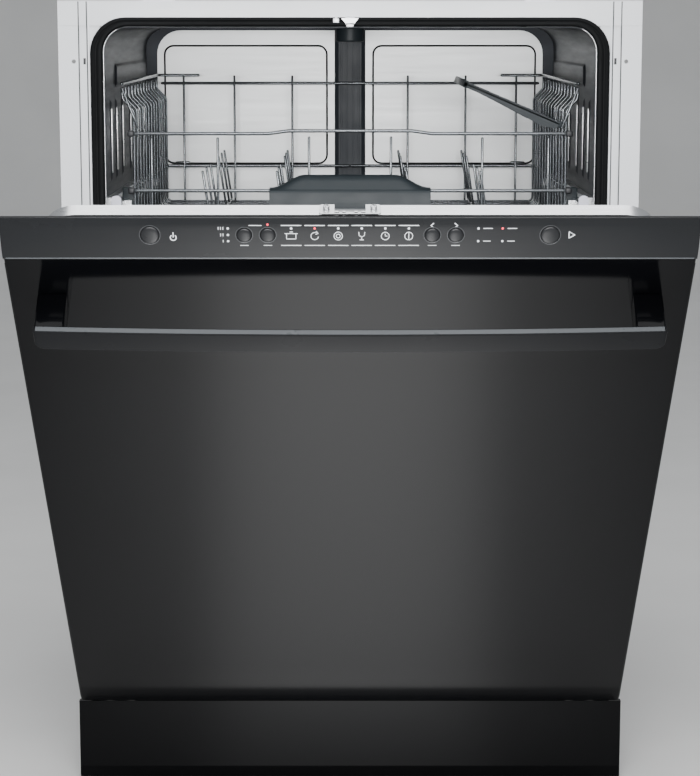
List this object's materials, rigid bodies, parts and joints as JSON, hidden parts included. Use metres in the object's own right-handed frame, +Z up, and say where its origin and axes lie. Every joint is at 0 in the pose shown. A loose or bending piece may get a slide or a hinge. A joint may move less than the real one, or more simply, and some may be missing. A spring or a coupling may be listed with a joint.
{
  "type": "built-in dishwasher",
  "caption": "Built-in front-loading dishwasher with a bottom-hinged bar-handle door, top button fascia, sliding wire racks, spray arms and a recessed toe kick.",
  "frame": {"origin": "on the floor, centred across the width, in the plane of the tub's front edge", "axes": "+X to the right as the user faces the appliance, +Y towards the wall behind it, +Z up; the door opens towards -Y"},
  "size_m": [0.611, 1.0414, 0.8612],
  "materials": {
    "black_enamel": "satin",
    "black_gloss": "gloss",
    "stainless": "satin",
    "zinc_steel": "satin",
    "spring_steel": "satin",
    "white_enamel": "satin",
    "black_rubber": "matte",
    "slate_plastic": "matte",
    "dark_plastic": "matte",
    "pale_plastic": "matte",
    "white_plastic": "matte",
    "coated_wire": "satin",
    "bitumen_felt": "matte",
    "circuit_board": "matte",
    "clear_lens": "gloss"
  },
  "bodies": {
    "cabinet": {"base_tray": "dark_plastic", "circulation_pump": "pale_plastic", "countertop_brackets": "zinc_steel", "door_gasket": "black_rubber", "door_springs": "spring_steel", "drain_pump": "dark_plastic", "filter_plate": "stainless", "front_frame_sides": "white_enamel", "front_frame_top": "white_enamel", "hinge_brackets": "zinc_steel", "inlet_valve": "pale_plastic", "insulation_blanket": "bitumen_felt", "junction_box": "zinc_steel", "latch_striker": "zinc_steel", "levelling_feet": "dark_plastic", "lower_arm_riser": "slate_plastic", "rack_rails": "stainless", "rear_feed_duct": "slate_plastic", "sump": "dark_plastic", "toe_kick": "black_enamel", "top_shower_head": "slate_plastic", "tub_shell": "stainless"},
    "door": {"door_outer_panel": "black_enamel", "door_inner_liner": "stainless", "door_lower_cover": "zinc_steel", "door_insulation": "bitumen_felt", "control_fascia": "black_gloss", "control_board": "circuit_board", "indicator_lights": "clear_lens", "handle_bar": "black_enamel", "handle_posts": "black_enamel", "handle_screws": "zinc_steel", "door_latch": "dark_plastic", "latch_plate": "zinc_steel", "hinge_arms": "zinc_steel", "hinge_pins": "zinc_steel", "dispenser_housing": "slate_plastic"},
    "upper_rack": {"upper_rack_frame": "coated_wire", "upper_rack_tines": "coated_wire", "upper_rack_handle": "slate_plastic", "upper_rack_slides": "stainless", "slide_end_caps": "white_plastic", "upper_feed_pipe": "slate_plastic"},
    "lower_rack": {"lower_rack_frame": "coated_wire", "lower_rack_tines": "coated_wire"},
    "power_button": {"power_button": "black_gloss"},
    "delay_button": {"delay_button": "black_gloss"},
    "sanitize_button": {"sanitize_button": "black_gloss"},
    "cycle_back_button": {"cycle_back_button": "black_gloss"},
    "cycle_next_button": {"cycle_next_button": "black_gloss"},
    "start_button": {"start_button": "black_gloss"},
    "dispenser_lid": {"dispenser_lid": "pale_plastic"},
    "rinse_aid_cap": {"rinse_aid_cap": "slate_plastic"},
    "filter_cylinder": {"filter_cylinder": "pale_plastic"},
    "cup_shelf": {"cup_shelf": "slate_plastic"},
    "upper_spray_arm": {"upper_spray_arm": "slate_plastic"},
    "lower_spray_arm": {"lower_spray_arm": "slate_plastic"},
    "lower_rack_front_wheels": {"lower_rack_front_wheels": "slate_plastic"},
    "lower_rack_rear_wheels": {"lower_rack_rear_wheels": "slate_plastic"},
    "silverware_basket": {"silverware_basket": "slate_plastic"}
  },
  "joints": [
    {"name": "door_hinge", "type": "hinge", "parent": "cabinet", "child": "door", "pos_m": [0, -0.0028, 0.1914], "axis": [1, 0, 0], "range_deg": [-40.75, 49.25]},
    {"name": "power_press", "type": "slide", "parent": "door", "child": "power_button", "axis": [0, 0.9377, 0.3476], "range_m": [0, 0.0012], "stiffness_N_per_m": 600},
    {"name": "delay_press", "type": "slide", "parent": "door", "child": "delay_button", "axis": [0, 0.9377, 0.3476], "range_m": [0, 0.0012], "stiffness_N_per_m": 600},
    {"name": "sanitize_press", "type": "slide", "parent": "door", "child": "sanitize_button", "axis": [0, 0.9377, 0.3476], "range_m": [0, 0.0012], "stiffness_N_per_m": 600},
    {"name": "cycle_back_press", "type": "slide", "parent": "door", "child": "cycle_back_button", "axis": [0, 0.9377, 0.3476], "range_m": [0, 0.0012], "stiffness_N_per_m": 600},
    {"name": "cycle_next_press", "type": "slide", "parent": "door", "child": "cycle_next_button", "axis": [0, 0.9377, 0.3476], "range_m": [0, 0.0012], "stiffness_N_per_m": 600},
    {"name": "start_press", "type": "slide", "parent": "door", "child": "start_button", "axis": [0, 0.9377, 0.3476], "range_m": [0, 0.0012], "stiffness_N_per_m": 600},
    {"name": "dispenser_lid_hinge", "type": "hinge", "parent": "door", "child": "dispenser_lid", "pos_m": [0, -0.19918, 0.44275], "axis": [1, 0, 0], "range_deg": [0, 95]},
    {"name": "rinse_aid_cap_twist", "type": "hinge", "parent": "door", "child": "rinse_aid_cap", "pos_m": [0.058, -0.1717, 0.40703], "axis": [0, 0.7576, 0.6528], "range_deg": [0, 90]},
    {"name": "filter_twist", "type": "hinge", "parent": "cabinet", "child": "filter_cylinder", "pos_m": [0, 0.175, 0.14], "axis": [0, 0, 1], "range_deg": [0, 45]},
    {"name": "upper_rack_slide", "type": "slide", "parent": "cabinet", "child": "upper_rack", "axis": [0, -1, 0], "range_m": [0, 0.33]},
    {"name": "cup_shelf_fold", "type": "hinge", "parent": "upper_rack", "child": "cup_shelf", "pos_m": [0.2255, 0.147, 0.7295], "axis": [0, 1, 0], "range_deg": [0, 34]},
    {"name": "upper_spray_spin", "type": "hinge", "parent": "upper_rack", "child": "upper_spray_arm", "pos_m": [0, 0.262, 0.58], "axis": [0, 0, 1], "continuous": true},
    {"name": "lower_spray_spin", "type": "hinge", "parent": "cabinet", "child": "lower_spray_arm", "pos_m": [0, 0.262, 0.21], "axis": [0, 0, 1], "continuous": true},
    {"name": "lower_rack_slide", "type": "slide", "parent": "cabinet", "child": "lower_rack", "axis": [0, -1, 0], "range_m": [0, 0.03]},
    {"name": "lower_front_wheels_roll", "type": "hinge", "parent": "lower_rack", "child": "lower_rack_front_wheels", "pos_m": [0, 0.084, 0.2012], "axis": [1, 0, 0], "continuous": true},
    {"name": "lower_rear_wheels_roll", "type": "hinge", "parent": "lower_rack", "child": "lower_rack_rear_wheels", "pos_m": [0, 0.43, 0.2012], "axis": [1, 0, 0], "continuous": true},
    {"name": "silverware_basket_lift", "type": "slide", "parent": "lower_rack", "child": "silverware_basket", "axis": [0, 0, 1], "range_m": [0, 0.12]}
  ],
  "couplings": [
    {"joint": "lower_front_wheels_roll", "follows": "lower_rack_slide", "rad_per_m": 58.824},
    {"joint": "lower_rear_wheels_roll", "follows": "lower_rack_slide", "rad_per_m": 58.824}
  ]
}
